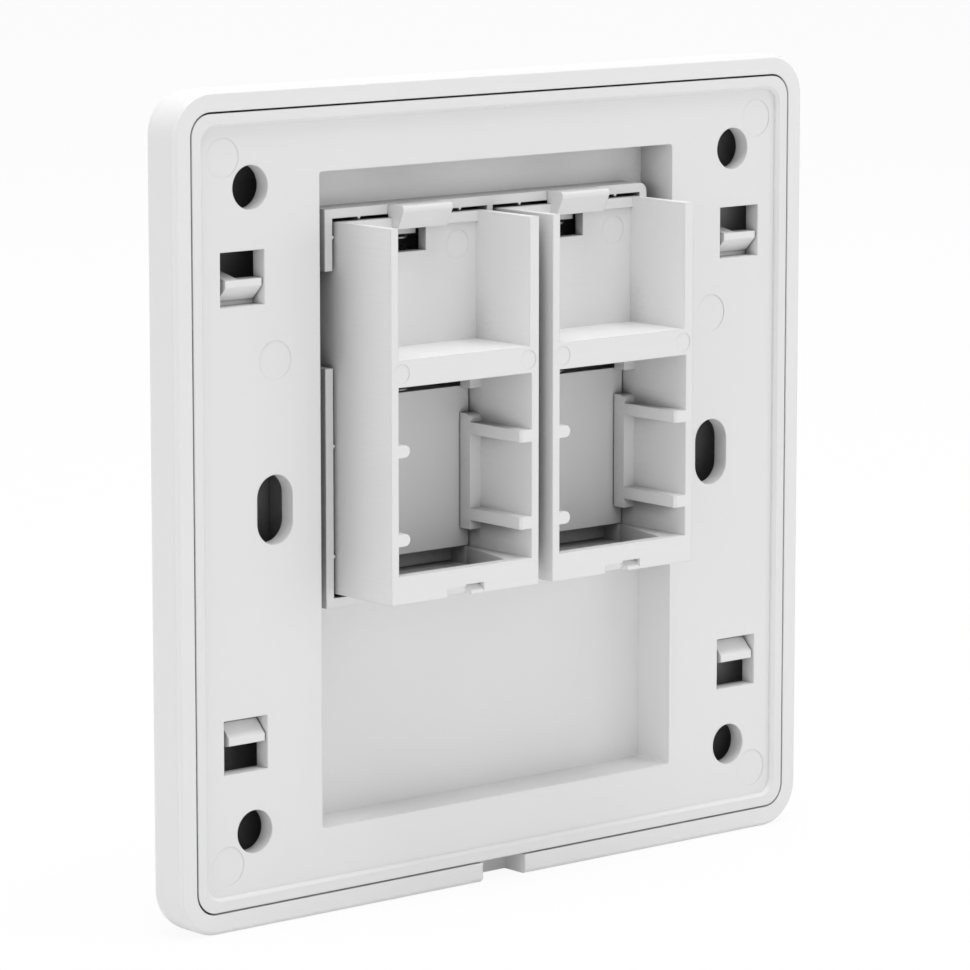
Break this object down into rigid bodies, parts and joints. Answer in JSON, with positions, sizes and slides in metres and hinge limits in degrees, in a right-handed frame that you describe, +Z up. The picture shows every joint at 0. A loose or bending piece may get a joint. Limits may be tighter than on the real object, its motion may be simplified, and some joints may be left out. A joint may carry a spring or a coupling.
{
  "type": "keystone faceplate",
  "caption": "Square clip-on wall faceplate with shuttered data ports: bevelled cover, mounting plate, moulded jack housings, front bezels and sprung sliding shutters.",
  "frame": {"origin": "midway between the two fixing slots, on the wall plane that the rear border touches", "axes": "+X to the right and +Z up as seen from the room, +Y from the room into the wall"},
  "size_m": [0.086, 0.0154, 0.086],
  "materials": {
    "cover_plastic": "satin moulded white",
    "plate_plastic": "fine matt moulded white",
    "housing_plastic": "fine matt moulded white",
    "bezel_plastic": "satin moulded white",
    "shutter_plastic": "fine matt moulded white",
    "spring_steel": "drawn spring wire"
  },
  "bodies": {
    "faceplate": {"front_cover": "cover_plastic", "mounting_plate": "plate_plastic", "right_port_housing": "housing_plastic", "right_front_bezel": "bezel_plastic", "right_shutter_spring": "spring_steel", "left_port_housing": "housing_plastic", "left_front_bezel": "bezel_plastic", "left_shutter_spring": "spring_steel"},
    "right_shutter": {"right_shutter": "shutter_plastic"},
    "left_shutter": {"left_shutter": "shutter_plastic"}
  },
  "joints": [
    {"name": "right_shutter_slide", "type": "slide", "parent": "faceplate", "child": "right_shutter", "axis": [0, 0, 1], "range_m": [0, 0.0129], "stiffness_N_per_m": 30, "springref_m": -0.004, "deforming": ["right_shutter_spring"]},
    {"name": "left_shutter_slide", "type": "slide", "parent": "faceplate", "child": "left_shutter", "axis": [0, 0, 1], "range_m": [0, 0.0129], "stiffness_N_per_m": 30, "springref_m": -0.004, "deforming": ["left_shutter_spring"]}
  ]
}
